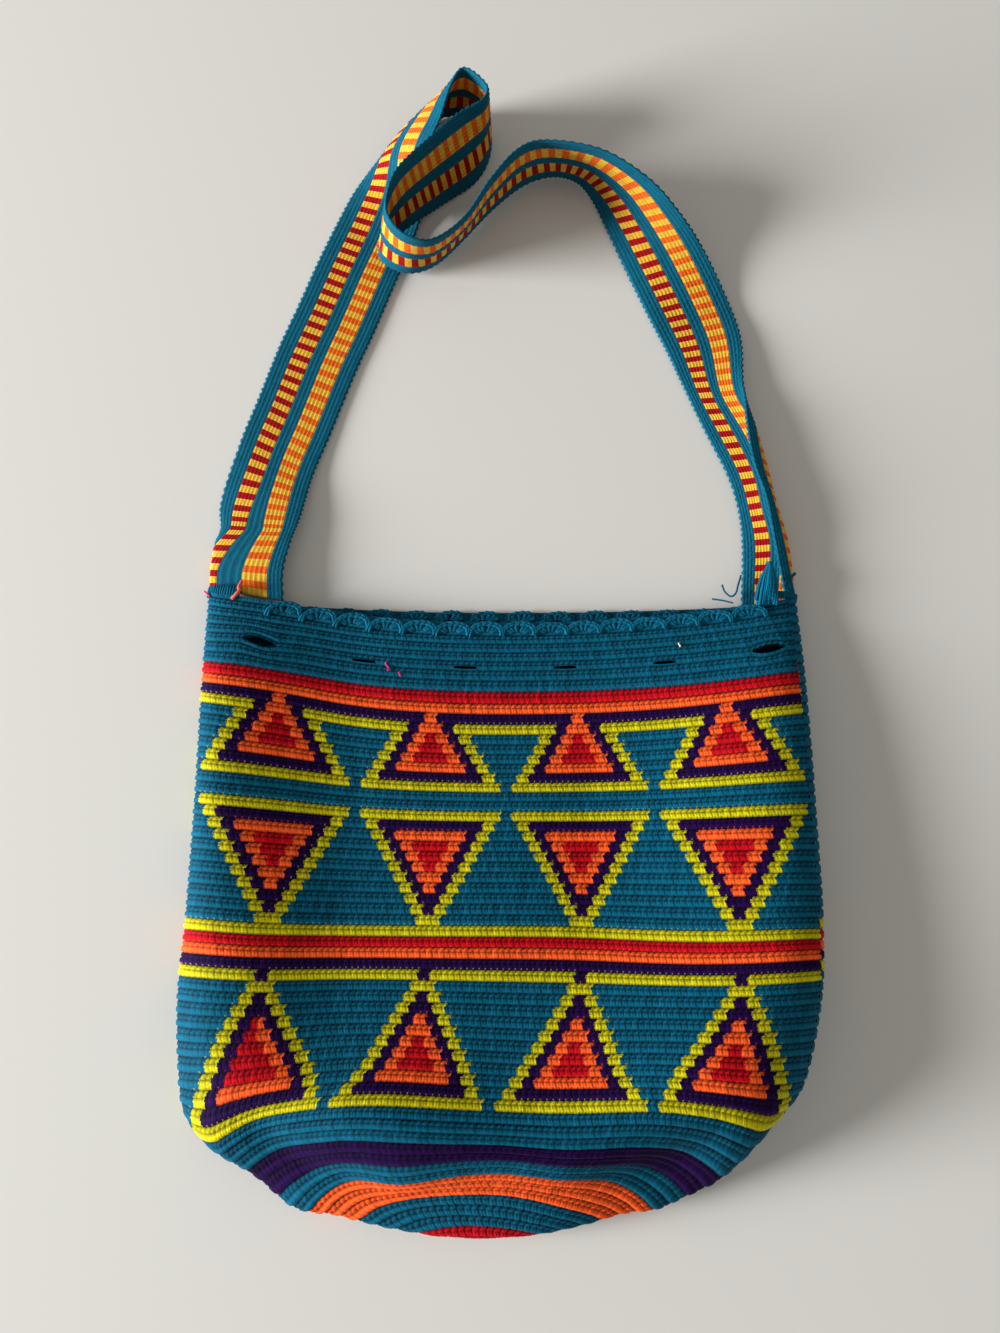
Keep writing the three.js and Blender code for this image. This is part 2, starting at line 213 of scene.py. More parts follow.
def bag_point(around, level):
    around, level = np.broadcast_arrays(np.asarray(around, float), np.asarray(level, float))
    around = (around + 2) % 4 - 2
    w = smoothstep(level, 35, 45)[..., None]
    wall = wall_point(around, np.minimum(level, WALL_LEVEL))
    base = base_point(around, np.maximum(level, 33))
    point = wall * (1 - w) + base * w
    shift, lift = sway(point)
    on_front = 1 - smoothstep(np.abs(around), 0.98, 1.3)
    for x, middle, reach, rounds, sag, rise in SAGS:
        away = ((point[..., 0] - x) / reach)**2 + ((level - middle) / rounds)**2
        shift = shift + on_front * sag * np.exp(-away)
        lift = lift + on_front * rise * np.exp(-away)
    return point + np.stack([np.zeros_like(level), shift, lift], -1)


def bag_normal(around, level):
    step = 0.01
    along = bag_point(around, level + step) - bag_point(around, level - step)
    across = bag_point(around + step, level) - bag_point(around - step, level)
    normal = np.cross(along, across)
    return normal / np.maximum(np.linalg.norm(normal, axis=-1, keepdims=True), 1e-12)


# Stitches: columns counted from the front centre, rows downwards from the first coloured one

STITCHES = 216
FOLD_COLUMN = 54
RIGHT_FOLD = [(-9, 55.6), (12, 55.4), (28, 54.6), (46, 54.3)]
COLUMN_PITCH = 58.5
EDGE_STRETCH = 0.15
SPREAD = [(-9, 1), (5, 1), (16, 1.018), (35, 1.027), (46, 1.03)]
JOG = 52
RIM_ROWS = 7.47
ROW_LEVELS = ((-RIM_ROWS, 0, 1, 2, 3, 4, 70), (RIM_LEVEL, 0, 1.18, 2.1, 3.05, 4, 70))


def level_of(row):
    return np.interp(row, *ROW_LEVELS)


def around_of(column, level):
    column = (np.asarray(column, float) + STITCHES / 2) % STITCHES - STITCHES / 2
    wall_level = np.clip(level, RIM_LEVEL, WALL_LEVEL)
    spread = through(SPREAD, wall_level)
    fold = np.where(column > 0, through(RIGHT_FOLD, wall_level), FOLD_COLUMN)
    reach = FOLD_COLUMN * spread / COLUMN_PITCH
    a = np.minimum(np.abs(column) / fold, 1) * reach
    front = (a + EDGE_STRETCH * a**9) / (reach + EDGE_STRETCH * reach**9)
    back = np.maximum(0, np.abs(column) - fold) / (STITCHES / 2 - fold)
    return np.sign(column) * (front + back)


MOTIF = 26
GAP = 8
UPPER_BASE, MIDDLE_BASE, LOWER_BASE = 10, 13, 39
UPPER_APEX, MIDDLE_APEX, LOWER_APEX = 5, 23, 29
BASE_WIDTH = 24
FULL_ROWS = {24: LIME, 25: RED, 26: ORANGE, 27: PURPLE, 28: LIME, 43: PURPLE, 44: PURPLE,
             47: ORANGE, 48: ORANGE, 49: ORANGE, 53: RED, 54: RED, 55: RED, 58: PURPLE,
             59: PURPLE, 60: PURPLE}
MOTIF_ROWS = {1: [(MOTIF, RED)], 2: [(MOTIF, ORANGE)], 3: [(MOTIF, PURPLE), (2, ORANGE)],
              4: [(MOTIF, LIME), (8, PURPLE), (4, ORANGE)], 28: [(2, PURPLE)]}
LAYERS = [LIME, PURPLE, ORANGE, RED]
MISSED_ROWS = slice(32, 37)


def motif_bands(row):
    """Coloured bands of a row, centred on each motif, as (width in stitches, colour)."""
    if row in MOTIF_ROWS:
        return MOTIF_ROWS[row]
    if UPPER_APEX <= row <= UPPER_BASE:
        steps = UPPER_BASE - row
    elif MIDDLE_BASE <= row <= MIDDLE_APEX:
        steps = row - MIDDLE_BASE
    elif LOWER_APEX <= row <= LOWER_BASE:
        steps = LOWER_BASE - row
    else:
        return []
    width = BASE_WIDTH - 2 * steps
    return [(width - 4 * k, colour) for k, colour in enumerate(LAYERS)
            if k <= steps and width > 4 * k]


def yarn_table():
    """Yarn of each stitch by row and by column, the columns counted from the jog."""
    table = np.zeros((CENTRE_ROUND + 4, STITCHES), int)
    column = np.arange(STITCHES)
    offset = (column - GAP + 0.5) % MOTIF - MOTIF / 2
    for row in range(1, CENTRE_ROUND + 1):
        table[row] = FULL_ROWS.get(row, TEAL)
        for width, colour in motif_bands(row):
            table[row, (np.abs(offset) < width / 2) & (column >= GAP)] = colour
    first_motif = STITCHES - 4 * MOTIF
    missed = table[MISSED_ROWS, first_motif:first_motif + MOTIF // 2]
    missed[missed == ORANGE] = RED
    return table


YARN_TABLE = yarn_table()


def yarn_at(row, column):
    row = np.clip(np.floor(row).astype(int) + 1, 0, CENTRE_ROUND + 3)
    column = (np.floor(column).astype(int) - JOG) % STITCHES
    return YARN_TABLE[row, column]


# Meshes

def new_mesh(name, points, quads, material, colours):
    """points in millimetres, quads as corner indices, linear colours by quad or by corner."""
    mesh = bpy.data.meshes.new(name)
    points = np.asarray(points, np.float32).reshape(-1, 3) * MM
    quads = np.asarray(quads, np.int32)
    mesh.vertices.add(len(points))
    mesh.vertices.foreach_set("co", points.ravel())
    mesh.loops.add(quads.size)
    mesh.loops.foreach_set("vertex_index", quads.ravel())
    mesh.polygons.add(len(quads))
    mesh.polygons.foreach_set("loop_start", np.arange(0, quads.size, 4, dtype=np.int32))
    mesh.update(calc_edges=True)
    mesh.polygons.foreach_set("use_smooth", np.ones(len(quads), bool))
    # The colour attribute holds the yarn colours with their painted shade and painted highlight.
    layer = mesh.color_attributes.new("yarn", "FLOAT_COLOR", "CORNER")
    rgba = np.ones((len(quads), 4, 4), np.float32)
    colours = np.asarray(colours, np.float32)
    rgba[..., :3] = colours if colours.ndim == 3 else colours[:, None]
    layer.data.foreach_set("color", rgba.ravel())
    mesh.materials.append(material)
    obj = bpy.data.objects.new(name, mesh)
    bpy.context.scene.collection.objects.link(obj)
    return obj


def grid_quads(rows, columns, closed=False):
    """Corner indices of a grid of rows by columns points, closed around its columns or not."""
    last = columns if closed else columns - 1
    i, j = np.meshgrid(np.arange(rows - 1), np.arange(last), indexing="ij")
    k = (j + 1) % columns
    return np.stack([i * columns + j, (i + 1) * columns + j, (i + 1) * columns + k,
                     i * columns + k], -1).reshape(-1, 4)


def tube(path, radius, sides=8, up=(0, 0, 1)):
    """Points and quads of a tube along a path, narrowed at both ends."""
    path = np.asarray(path, float)
    radius = np.broadcast_to(np.asarray(radius, float), (len(path),))
    tangent = np.gradient(path, axis=0)
    tangent /= np.linalg.norm(tangent, axis=1, keepdims=True)
    side = np.cross(tangent, np.asarray(up, float))
    side /= np.maximum(np.linalg.norm(side, axis=1, keepdims=True), 1e-9)
    rise = np.cross(side, tangent)
    angle = np.linspace(0, 2 * np.pi, sides + 1)[:-1]
    ring = path[:, None] + radius[:, None, None] * (
        np.cos(angle)[None, :, None] * side[:, None] + np.sin(angle)[None, :, None] * rise[:, None])
    tips = 0.3 * ring[[0, -1]] + 0.7 * path[[0, -1], None]
    points = np.concatenate([tips[:1], ring, tips[1:]])
    return points.reshape(-1, 3), grid_quads(len(points), sides, closed=True)


def joined(name, parts, material):
    """One mesh from (points, quads, colour) parts."""
    starts = np.cumsum([0] + [len(p) for p, _, _ in parts[:-1]])
    points = np.concatenate([p for p, _, _ in parts])
    quads = np.concatenate([q + s for (_, q, _), s in zip(parts, starts)])
    colours = np.concatenate([np.tile(c, (len(q), 1)) for _, q, c in parts])
    return new_mesh(name, points, quads, material, colours)


def catmull(points, t):
    """A smooth curve through the points, one unit of t from each to the next."""
    p = np.asarray(points, float)
    ext = np.vstack([2 * p[0] - p[1], p, 2 * p[-1] - p[-2]])
    t = np.clip(np.asarray(t, float), 0, len(p) - 1)
    i = np.minimum(t.astype(int), len(p) - 2)
    f = (t - i)[:, None]
    a, b, c, d = ext[i], ext[i + 1], ext[i + 2], ext[i + 3]
    return 0.5 * (2 * b + (c - a) * f + (2 * a - 5 * b + 4 * c - d) * f**2
                  + (3 * b - a - 3 * c + d) * f**3)


# Materials

def yarn_material(name, fibre_scale, bump):
    """Matte twisted yarn: the colour comes with the mesh, fibres vary and roughen it."""
    mat = bpy.data.materials.new(name)
    mat.use_nodes = True
    nodes, links = mat.node_tree.nodes, mat.node_tree.links
    shader = nodes["Principled BSDF"]
    shader.inputs["Roughness"].default_value = 0.75
    shader.inputs["Specular IOR Level"].default_value = 0.06
    shader.inputs["Sheen Weight"].default_value = 0.015
    shader.inputs["Sheen Roughness"].default_value = 0.5
    coords = nodes.new("ShaderNodeTexCoord")
    fibre = nodes.new("ShaderNodeTexNoise")
    fibre.inputs["Scale"].default_value = fibre_scale
    fibre.inputs["Detail"].default_value = 4
    fibre.inputs["Roughness"].default_value = 0.65
    links.new(coords.outputs["Object"], fibre.inputs["Vector"])
    spread = nodes.new("ShaderNodeMapRange")
    spread.inputs["From Min"].default_value = 0.3
    spread.inputs["From Max"].default_value = 0.7
    spread.inputs["To Min"].default_value = 0.7
    spread.inputs["To Max"].default_value = 1.3
    links.new(fibre.outputs["Fac"], spread.inputs["Value"])
    paint = nodes.new("ShaderNodeAttribute")
    paint.attribute_name = "yarn"
    tint = nodes.new("ShaderNodeVectorMath")
    tint.operation = "SCALE"
    links.new(paint.outputs["Color"], tint.inputs[0])
    links.new(spread.outputs["Result"], tint.inputs["Scale"])
    links.new(tint.outputs["Vector"], shader.inputs["Base Color"])
    relief = nodes.new("ShaderNodeBump")
    relief.inputs["Strength"].default_value = bump
    relief.inputs["Distance"].default_value = 0.0004
    links.new(fibre.outputs["Fac"], relief.inputs["Height"])
    links.new(relief.outputs["Normal"], shader.inputs["Normal"])
    return mat


CROCHET = yarn_material("crochet_yarn", 1500, 0.5)
WEAVE = yarn_material("strap_weave", 1700, 0.45)
THREAD = yarn_material("joining_yarn", 1900, 0.5)

# Bag body: one spiral of stitches, in patches

RELIEF = 1.2
LEG_LEAN = 0.7
# Colour factors by stitch height: painted shade deep in the grooves, painted highlight on the yarn
# crests.
GROOVE_PAINTED_SHADE, CREST_PAINTED_HIGHLIGHT = 0.08, 1.15
EYELET_ROW = -2.3
EYELET_SPACING = 18
FIRST_EYELET = -42.6
SHUT_EYELET = (EYELET_ROW, 2.1, 0.05, 0)
OPEN_EYELETS = {0: (EYELET_ROW - 0.4, 2.9, 0.46, 0.16), 5: (EYELET_ROW - 0.2, 2.9, 0.42, -0.06)}
EYELETS = [(FIRST_EYELET + EYELET_SPACING * i, *OPEN_EYELETS.get(i, SHUT_EYELET))
           for i in range(12)]


def stitch_height(row, stitch):
    """Height of the crochet over its grooves, 0 to 1: a chain dash above two leaning legs."""
    down = row - np.floor(row)
    part = stitch - np.floor(stitch)
    dash = np.exp(-((down - 0.2 + 0.1 * (part - 0.5)) / 0.13)**2)
    dash = dash * (0.45 + 0.55 * np.sin(np.pi * part)**0.7)
    leaning = stitch - LEG_LEAN * (down - 0.62)
    leg = leaning - np.floor(leaning)
    gap = 0.36 * (np.cos(np.pi * leg)**2)**4 + 0.26 * np.exp(-((leg - 0.5) / 0.12)**2)
    legs = smoothstep(down, 0.32, 0.56) * (1 - smoothstep(down, 0.84, 1.0)) * (1 - gap)
    return np.maximum(dash, legs)


def stagger(row):
    """Stitches sit half a stitch aside from row to row."""
    return 0.25 - 0.5 * (np.floor(row) % 2)


def stitches_in(row):
    """Stitches in a round: fewer on the round base, towards its centre."""
    left = np.ceil(CENTRE_ROUND - np.minimum(row, CENTRE_ROUND - 1e-6))
    fewer = np.maximum(8, np.round(STITCHES * left / (CENTRE_ROUND - WALL_END)))
    return np.where(row < WALL_END, STITCHES, fewer)


def crochet_patch(name, columns, rows, across, down, drift):
    """Crochet over a range of columns and rows: across quads to a stitch, rows cut at down."""
    c = np.linspace(columns[0], columns[1], int(round((columns[1] - columns[0]) * across)) + 1)
    r = (np.arange(math.floor(rows[0]), rows[1])[:, None] + np.array(down)).ravel()
    r = np.concatenate([[rows[0]], r[(r > rows[0] + 0.02) & (r < rows[1])], [rows[1]]])
    column, row = np.meshgrid(c, r)
    level = level_of(row) - drift(column)
    mid_row = (row[:-1, :-1] + row[1:, 1:]) / 2
    mid_column = (column[:-1, :-1] + column[1:, 1:]) / 2
    keep = np.ones(mid_row.shape, bool)
    for middle, eyelet_row, reach, gape, tilt in EYELETS:
        away = (column - middle + STITCHES / 2) % STITCHES - STITCHES / 2
        side = row - eyelet_row
        bow = np.clip(1 - (away / reach)**2, 0, 1)
        turn = tilt * away * np.exp(-(away / reach)**2 / 2 - (side / 2)**2)
        level = level + turn + gape * bow * np.sign(side) * np.exp(-(side / 1.1)**2)
        away = (mid_column - middle + STITCHES / 2) % STITCHES - STITCHES / 2
        keep &= (np.abs(away) > reach - 0.1) | (np.abs(mid_row - eyelet_row) > 0.55 / len(down))
    level = np.clip(level, RIM_LEVEL, CENTRE_ROUND)
    around = around_of(column, level)
    point = bag_point(around, level)
    stitch = column * stitches_in(row) / STITCHES + stagger(row)
    height = stitch_height(row, stitch) + 0.08 * uneven(np.floor(row), np.floor(stitch))
    depth = RELIEF * (1 - height) * np.clip((CENTRE_ROUND - level) / 2, 0, 1)
    point = point - bag_normal(around, level) * depth[..., None]
    quads = grid_quads(len(r), len(c))[keep.ravel()]
    colours = stitch_colours(mid_row, mid_column)[keep][:, None]
    # Colours darkened in the grooves and brightened on the crests by the stitch height: painted
    # shade and painted highlight.
    shade = (GROOVE_PAINTED_SHADE + CREST_PAINTED_HIGHLIGHT * np.clip(height, 0, 1)).ravel()[quads]
    return new_mesh(name, point, quads, CROCHET, colours * shade[..., None])


def stitch_colours(row, column):
    """Yarn at a spot: dashes reach to the right, tips of the row below show between the legs."""
    down = row - np.floor(row)
    part = column - np.floor(column)
    lean = np.interp(down, (0.1, 0.3, 0.5, 0.7, 0.9), (0.45, 0.1, 0, 0.12, 0.25))
    yarn = YARN[yarn_at(row, column - lean)]
    tip = (down > 0.8) & (np.abs(part - 0.25) < 0.1)
    below = YARN[yarn_at(row + 0.3, column - 0.25)]
    yarn = np.where(tip[..., None], (yarn + below) / 2, yarn)
    return yarn * (1 + 0.07 * uneven(np.floor(row) * 1.7, np.floor(column) * 1.3))[..., None]


def level_rows(column):
    return np.zeros_like(column)


def spiral_rows(column):
    """Each round climbs by one row from the left fold round the back to the jog."""
    return np.clip(1 - (column - JOG) / (STITCHES - FOLD_COLUMN - JOG), 0, 1)


FINE_ROW, EVEN_ROW = (0, 0.1, 0.28, 0.4, 0.58, 0.82), (0, 0.25, 0.5, 0.75)
LEFT, RIGHT, ROUND = -FOLD_COLUMN, JOG, STITCHES - FOLD_COLUMN
FRONT_SPLIT = 16
front_upper = crochet_patch("bag_front_upper", (LEFT, RIGHT), (-RIM_ROWS, FRONT_SPLIT), 6,
                            FINE_ROW, level_rows)
front_lower = crochet_patch("bag_front_lower", (LEFT, RIGHT), (FRONT_SPLIT, WALL_END), 6,
                            FINE_ROW, level_rows)
base_front = crochet_patch("bag_base_front", (LEFT, RIGHT), (WALL_END, CENTRE_ROUND), 4,
                           FINE_ROW, level_rows)
back = crochet_patch("bag_back", (RIGHT, ROUND), (-RIM_ROWS, WALL_END + 1), 3, EVEN_ROW,
                     spiral_rows)
base_back = crochet_patch("bag_base_back", (RIGHT, ROUND), (WALL_END + 1, CENTRE_ROUND + 1), 3,
                          EVEN_ROW, spiral_rows)


def lining():
    """The inner side of the crochet, one coarse layer."""
    around = np.linspace(-1, 3, 241)[:-1]
    level = np.concatenate([np.linspace(RIM_LEVEL, 36, 136), np.linspace(36.5, 59.6, 60)])
    q, v = np.meshgrid(around, level)
    depth = FABRIC - 0.3 + 0.3 * np.cos(2 * np.pi * v)
    point = bag_point(q, v) - bag_normal(q, v) * depth[..., None]
    quads = grid_quads(len(level), len(around), closed=True)[:, ::-1]
    mid = point.reshape(-1, 3)[quads].mean(1)
    keep = np.ones(len(quads), bool)
    for column, eyelet_row, reach, _, _ in EYELETS:
        eyelet_level = level_of(eyelet_row)
        spot = bag_point(around_of(column, eyelet_level), eyelet_level)
        near = np.hypot(*((mid - spot)[:, :2] / (3 * reach, 3.2)).T) < 1
        keep &= ~(near & (np.abs(mid[:, 2] - spot[2]) < 5))
    # The inner side is painted darker than the teal yarn: painted shade inside the bag.
    colours = np.tile(YARN[TEAL] * 0.6, (len(quads), 1))
    return new_mesh("bag_lining", point, quads[keep], CROCHET, colours[keep])


inside = lining()

# Edging: shells round the mouth, none where the strap is joined

SHELL_STITCHES = 6
SHELL_LEVEL = -7.6
SHELL_HALF, SHELL_RISE = 8.0, 4.4
SHELL_POSTS, SHELL_CHAIN = 6, 8
STRAP_JOINS = [(-63, -39), (45, 63)]


def shell(column, outward):
    """A fan of plump posts under a chain of paired loops."""
    q = around_of(column, SHELL_LEVEL)
    root, out = bag_point(q, SHELL_LEVEL), bag_normal(q, SHELL_LEVEL)
    up = bag_point(q, SHELL_LEVEL - 0.6) - root
    up = up / np.linalg.norm(up)
    across = np.cross(up, out)
    across = across * (1 if out[2] > 0 else -1)
    rise = SHELL_RISE * (1 + 0.12 * uneven(column, 3.0))
    parts = []

    def place(a, b, c):
        return root + np.outer(a + 0.2 * b, across) + np.outer(b, up) + np.outer(c + outward, out)

    for k in range(SHELL_POSTS):
        angle = math.radians(-76 + 152 * k / (SHELL_POSTS - 1) + 6 * uneven(column, k))
        u = np.linspace(0.1, 1, 8)
        wide = SHELL_HALF * math.sin(angle) * (0.3 + 0.62 * u)
        high = (rise - 0.9) * u * math.cos(angle)**0.6
        path = place(wide, high, 0.4 * np.sin(np.pi * u) - 0.7)
        # Posts are painted darker than the chain loops over them: painted shade under the chain,
        # varied at random.
        shade = 0.82 + 0.15 * uneven(column, k + 10)
        parts.append((*tube(path, 1.0 + 0.45 * u, 8, out), YARN[TEAL] * shade))
    for k in range(SHELL_CHAIN):
        angle = math.radians(-80 + 160 * k / (SHELL_CHAIN - 1))
        run, drop = SHELL_HALF * math.cos(angle), -rise * math.sin(angle)
        size = math.hypot(run, drop)
        run, drop = run / size, drop / size
        for side in (-1, 1):
            u = np.linspace(-1, 1, 7)
            along = 2.5 * u
            aside = side * (0.6 - 0.3 * u)
            wide = SHELL_HALF * math.sin(angle) + along * run - aside * drop
            high = rise * math.cos(angle) + along * drop + aside * run
            path = place(wide, high, 0.55 - 0.5 * u**2 + 0.25 * u)
            shade = 1.0 + 0.22 * uneven(column + side, k + 20)
            parts.append((*tube(path, 0.8 * np.sqrt(1 - 0.6 * u**2), 7, out), YARN[TEAL] * shade))
    return parts


def edging():
    parts = []
    for k in range(STITCHES // SHELL_STITCHES):
        column = -STITCHES / 2 + SHELL_STITCHES * (k + 0.5)
        if any(low < column < high for low, high in STRAP_JOINS):
            continue
        on_front = abs(column) < FOLD_COLUMN
        parts += shell(column, 0.2 if on_front else -3.2)
    return joined("rim_edging", parts, CROCHET)


edge = edging()

# Strap: warp-faced band

WARP_GROUPS = [(4, WARP_TEAL, 9.1), (5, WARP_RED, 10.5), (3, WARP_TEAL, 7.1),
               (5, WARP_ORANGE, 10.6), (4, WARP_TEAL, 8.7)]
FLARE = [0, 0, 1.0, 0.3, 0]
PICK = 3.55
WARP_QUADS, PICK_QUADS = 3, 2


def strap_section(t, f):
    red, orange, bow = (catmull([s[k] for s in STRAP_STATIONS], t)[:, None] for k in range(3))
    f = f[None, :, None]
    return red * (1 - f) + orange * f + 4 * f * (1 - f) * bow


def strap_run():
    """Station values evenly spaced along the strap's middle, with the run up to each."""
    t = np.linspace(0, len(STRAP_STATIONS) - 1, 4001)
    middle = strap_section(t, np.array([0.5]))[:, 0]
    run = np.concatenate([[0], np.cumsum(np.linalg.norm(np.diff(middle, axis=0), axis=1))])
    steps = int(round(run[-1] / PICK)) * PICK_QUADS
    even = np.linspace(0, run[-1], steps + 1)
    return np.interp(even, run, t), even


def warp_edges(run):
    """Places of the warp threads' sides across the band, as shares of its width, by station."""
    flare = (1 - smoothstep(run, 15, 75))[:, None]
    widths = np.concatenate([np.full((len(run), count), width / count) * (1 + extra * flare)
                             for (count, _, width), extra in zip(WARP_GROUPS, FLARE)], axis=1)
    fine = np.repeat(widths / WARP_QUADS, WARP_QUADS, axis=1)
    edges = np.concatenate([np.zeros((len(run), 1)), np.cumsum(fine, axis=1)], axis=1)
    return edges / edges[:, -1:]


def strap_middle(t, run):
    """The band's middle surface, spaced evenly across by length along the section."""
    f = np.linspace(0, 1, 61)
    section = strap_section(t, f)
    length = np.cumsum(np.linalg.norm(np.diff(section, axis=1), axis=2), axis=1)
    length = np.concatenate([np.zeros((len(t), 1)), length], axis=1)
    places = warp_edges(run)
    out = np.empty((len(t), places.shape[1], 3))
    for i in range(len(t)):
        at = np.interp(places[i] * length[i, -1], length[i], f)
        for k in range(3):
            out[i, :, k] = np.interp(at, f, section[i, :, k])
    return out


def strap():
    t, run = strap_run()
    middle = strap_middle(t, run)
    along = np.gradient(middle, axis=0)
    across = np.gradient(middle, axis=1)
    across /= np.linalg.norm(across, axis=-1, keepdims=True)
    normal = np.cross(across, along)
    normal /= np.linalg.norm(normal, axis=-1, keepdims=True)
    kinds = np.concatenate([[kind] * count for count, kind, _ in WARP_GROUPS])
    warps = len(kinds)
    place = np.arange(WARP_QUADS * warps + 1)
    warp = np.minimum(place // WARP_QUADS, warps - 1)
    pick = np.arange(len(t)) / PICK_QUADS
    brick = np.where((kinds[warp] == WARP_TEAL) & (warp % 2 == 0), 0.5, 0)
    ridge = np.where(place % WARP_QUADS == 0, 0.15, 1.0)
    bead = np.abs(np.sin(np.pi * (pick[:, None] + brick)))
    height = ridge * (0.4 + 0.6 * bead)
    rim = np.minimum(place, place[-1] - place) / WARP_QUADS
    half = STRAP_THICKNESS / 2 * np.sqrt(1 - np.clip(1 - rim, 0, 1)**2)
    rise = half * (0.45 + 0.55 * height)
    bulge = 0.55 * np.clip(1 - rim, 0, 1) * (2 * bead - 1) * np.where(place < 3, -1, 1)
    middle = middle + across * bulge[..., None]
    top = middle + normal * rise[..., None]
    under = middle - normal * rise[..., None]
    ring = np.concatenate([top, under[:, -2:0:-1]], axis=1)
    rows, columns = ring.shape[:2]
    i, j = np.meshgrid(np.arange(rows - 1), np.arange(columns), indexing="ij")
    upper = j < place[-1]
    line = np.minimum(np.where(upper, j, columns - 1 - j) // WARP_QUADS, warps - 1)
    number = i // PICK_QUADS
    kind = kinds[line]
    light = (number + upper + (kind == WARP_ORANGE)) % 2 == 0
    yarn = np.where((kind != WARP_TEAL) & light, WARP_YELLOW, kind)
    tint = 1 + 0.1 * uneven(number * 1.3, line * 2.1 + upper)
    # body: painted shade between the warp threads and beads, slight painted highlight on the bead
    # crests; tint varies at random.
    body = np.concatenate([height, height[:, -2:0:-1]], axis=1)
    body = (body[:-1] + body[1:] + np.roll(body, -1, 1)[:-1] + np.roll(body, -1, 1)[1:]) / 4
    colours = WARP_YARN[yarn] * (tint * (0.42 + 0.7 * body))[..., None]
    k = np.arange(1, place[-1] - 1)
    caps = [np.stack([s + k, s + k + 1, s + columns - k - 1, s + columns - k], -1)
            for s in (0, (rows - 1) * columns)]
    quads = np.vstack([grid_quads(rows, columns, closed=True), caps[0], caps[1][:, ::-1]])
    cap_colours = np.tile(WARP_YARN[WARP_TEAL], (2 * len(k), 1))
    colours = np.vstack([colours.reshape(-1, 3), cap_colours])
    return new_mesh("shoulder_strap_band", ring, quads, WEAVE, colours), run[-1]


band, strap_length = strap()

# Joining stitches, thread ends and specks

LEFT_JOIN = [(-135.5, 156.0, 14.0), (-143, 157.2, 13.0), (-149.5, 158.1, 10.2), (-153, 158.2, 6.8)]
RIGHT_JOIN = [(139.5, 154.6, 14.0), (144, 154.8, 13.4), (148.5, 154.8, 11.2), (151.6, 154.6, 8.2),
              (152.4, 154.6, 4.4)]
TUFT_TOP = (136.7, 169.9, 17.6)
TUFT_END = (133.4, 149.4, 17.4)
TUFT_STRANDS = 26
LOOSE_ENDS = [
    (0.5, [(114.5, 162.7, 5.0), (115.8, 158.7, 5.5), (118.4, 155.8, 7.0), (120.7, 157.2, 8.5),
           (121.9, 161.4, 9.0), (124.0, 166.9, 8.0)]),
    (0.45, [(108.5, 154.4, 7.0), (113.3, 153.2, 8.5), (118.3, 151.1, 11.0)]),
    (0.8, [(145.0, 160.1, 12.0), (146.2, 162.2, 14.2), (147.5, 163.5, 15.0), (150.2, 165.9, 14.6)]),
]
SALMON_END = [(-134.2, 162.0, 13.5), (-135.3, 158.4, 14.6), (-134.6, 156.7, 15.2),
              (-136.1, 154.4, 15.6), (-138.5, 152.3, 14.4)]
PINK_END = [(-154.4, 157.9, 9.0), (-152.5, 156.1, 10.5), (-150.8, 154.6, 11.0)]


def smooth_path(points, count):
    return catmull(points, np.linspace(0, len(points) - 1, count))


def joining_stitches(path, count, reach):
    """Short stitches of yarn side by side over a seam."""
    parts = []
    for k, spot in enumerate(smooth_path(path, count)):
        u = np.linspace(-1, 1, 9)
        lean = 0.4 + 0.3 * uneven(k, 1.0)
        loop = np.stack([spot[0] + lean * u, spot[1] + reach * u,
                         spot[2] + 0.7 * (1 - u**2) - 0.8], -1)
        parts.append((*tube(loop, 0.7, 8), YARN[TEAL] * (0.9 + 0.2 * uneven(k, 2.0))))
    return parts


def tuft_strands():
    """Thread ends tied at the top and fanned over the rim."""
    parts = []
    top, end = np.array(TUFT_TOP), np.array(TUFT_END)
    for k in range(TUFT_STRANDS):
        side = 2 * (k + 0.5) / TUFT_STRANDS - 1
        u = np.linspace(0, 1, 20)
        fan = 5.4 * (1 - np.exp(-3.2 * u)) * (side + 0.08 * uneven(k, 5.0))
        path = top + (end - top) * u[:, None]
        path[:, 0] += fan
        path[:, 1] += 1.6 * uneven(k, 6.0) * u**3
        path[:, 2] += 1.6 * np.sin(np.pi * u) * (1 - side**2) + 0.7 * (k % 2) - 0.35
        twist = 1 + 0.14 * np.sin(u * 60 + k)
        # Strands are painted brighter than the teal yarn, varied at random: painted highlight where
        # the light falls on them.
        parts.append((*tube(path, 0.55 * twist, 6), YARN[TEAL] * (1.25 + 0.3 * uneven(k, 7.0))))
    knot = smooth_path([(135.6, 171.2, 15.4), (136.7, 170.3, 17.8), (137.9, 171.0, 15.4)], 12)
    parts.append((*tube(knot, 0.9, 8), YARN[TEAL]))
    for radius, points in LOOSE_ENDS:
        # Loose ends are painted darker than the teal yarn: painted shade.
        parts.append((*tube(smooth_path(points, 30), radius, 8), YARN[TEAL] * 0.7))
    return parts


def speck(column, row, size, colour):
    """A short crooked bit of thread caught in the crochet."""
    u = np.linspace(-1, 1, 9)
    level = level_of(row + 0.45 * size * u)
    around = around_of(column + 0.25 * size * np.sin(3 * u), level)
    path = bag_point(around, level) + 0.25 * bag_normal(around, level)
    return (*tube(path, 0.32 + 0.1 * size, 6), colour)


left_stitches = joined("left_join_stitches", joining_stitches(LEFT_JOIN, 17, 2.8), THREAD)
right_stitches = joined("right_join_stitches", joining_stitches(RIGHT_JOIN, 16, 1.8), THREAD)
tuft = joined("yarn_tuft_strands", tuft_strands(), THREAD)
strays = joined("stray_threads", [
    (*tube(smooth_path(SALMON_END, 24), 0.95, 8), SALMON),
    (*tube(smooth_path(PINK_END, 12), 0.5, 6), PINK),
    speck(-20.5, -2.0, 1.1, PINK), speck(-18.3, -1.3, 0.5, PINK),
    speck(32.2, -4.0, 0.5, CREAM),
], THREAD)

# Floor, light and camera

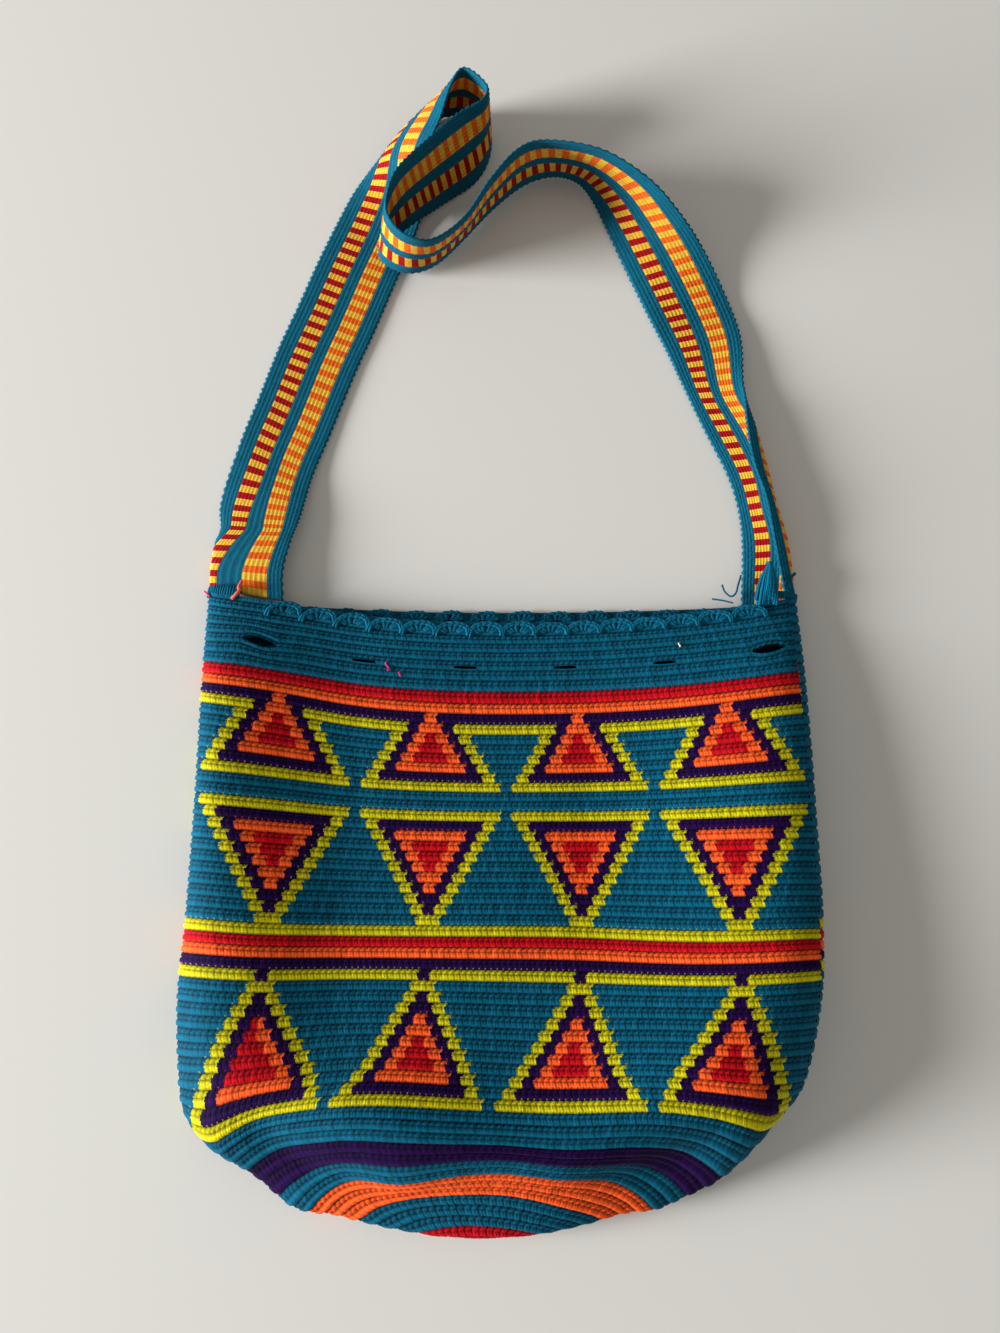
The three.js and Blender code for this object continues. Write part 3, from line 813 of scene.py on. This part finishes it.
def stage_floor():
    mesh = bpy.data.meshes.new("floor")
    mesh.from_pydata([(-3, -3, 0), (3, -3, 0), (3, 3, 0), (-3, 3, 0)], [], [(0, 1, 2, 3)])
    mat = bpy.data.materials.new("floor_pale")
    mat.use_nodes = True
    shader = mat.node_tree.nodes["Principled BSDF"]
    shader.inputs["Base Color"].default_value = (0.66, 0.65, 0.62, 1)
    shader.inputs["Roughness"].default_value = 0.9
    mesh.materials.append(mat)
    obj = bpy.data.objects.new("floor", mesh)
    bpy.context.scene.collection.objects.link(obj)
    return obj


def area_light(name, location, aim, size, power):
    data = bpy.data.lights.new(name, "AREA")
    data.shape = "DISK"
    data.size = size
    data.energy = power
    obj = bpy.data.objects.new(name, data)
    bpy.context.scene.collection.objects.link(obj)
    obj.location = location
    x, y, z = np.subtract(aim, location)
    obj.rotation_euler = (math.atan2(math.hypot(x, y), -z), 0, math.atan2(y, x) - math.pi / 2)
    return obj


floor = stage_floor()
area_light("window_light", (-3.6, -0.4, 1.0), (0, 0.12, 0), 1.6, 345)
area_light("soft_fill", (1.8, -1.0, 3.2), (0, 0, 0), 3.0, 8)
world = bpy.data.worlds.new("studio")
world.use_nodes = True
world.node_tree.nodes["Background"].inputs["Color"].default_value = (1.0, 0.97, 0.9, 1)
world.node_tree.nodes["Background"].inputs["Strength"].default_value = 0.33
bpy.context.scene.world = world
bpy.context.scene.view_settings.view_transform = "Standard"

camera_data = bpy.data.cameras.new("photo_camera")
camera_data.sensor_fit = "VERTICAL"
camera_data.sensor_height = 36
camera_data.lens = 27.03
camera = bpy.data.objects.new("photo_camera", camera_data)
bpy.context.scene.collection.objects.link(camera)
camera.location = (-0.0015, 0.0035, 0.505)
camera.rotation_euler = (math.radians(13), 0, 0)
bpy.context.scene.camera = camera

# What each piece moves with; the model parts that the pieces stand for are hidden

BAG_PIECES = [front_upper, front_lower, base_front, back, base_back, inside, edge]
for piece in BAG_PIECES:
    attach(piece, "root")
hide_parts("bag_body")
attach(band, "root")
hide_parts("shoulder_strap")
for piece in (left_stitches, right_stitches, tuft, strays):
    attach(piece, "root")
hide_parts("left_joining_yarn")
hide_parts("right_joining_yarn")
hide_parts("yarn_tuft")
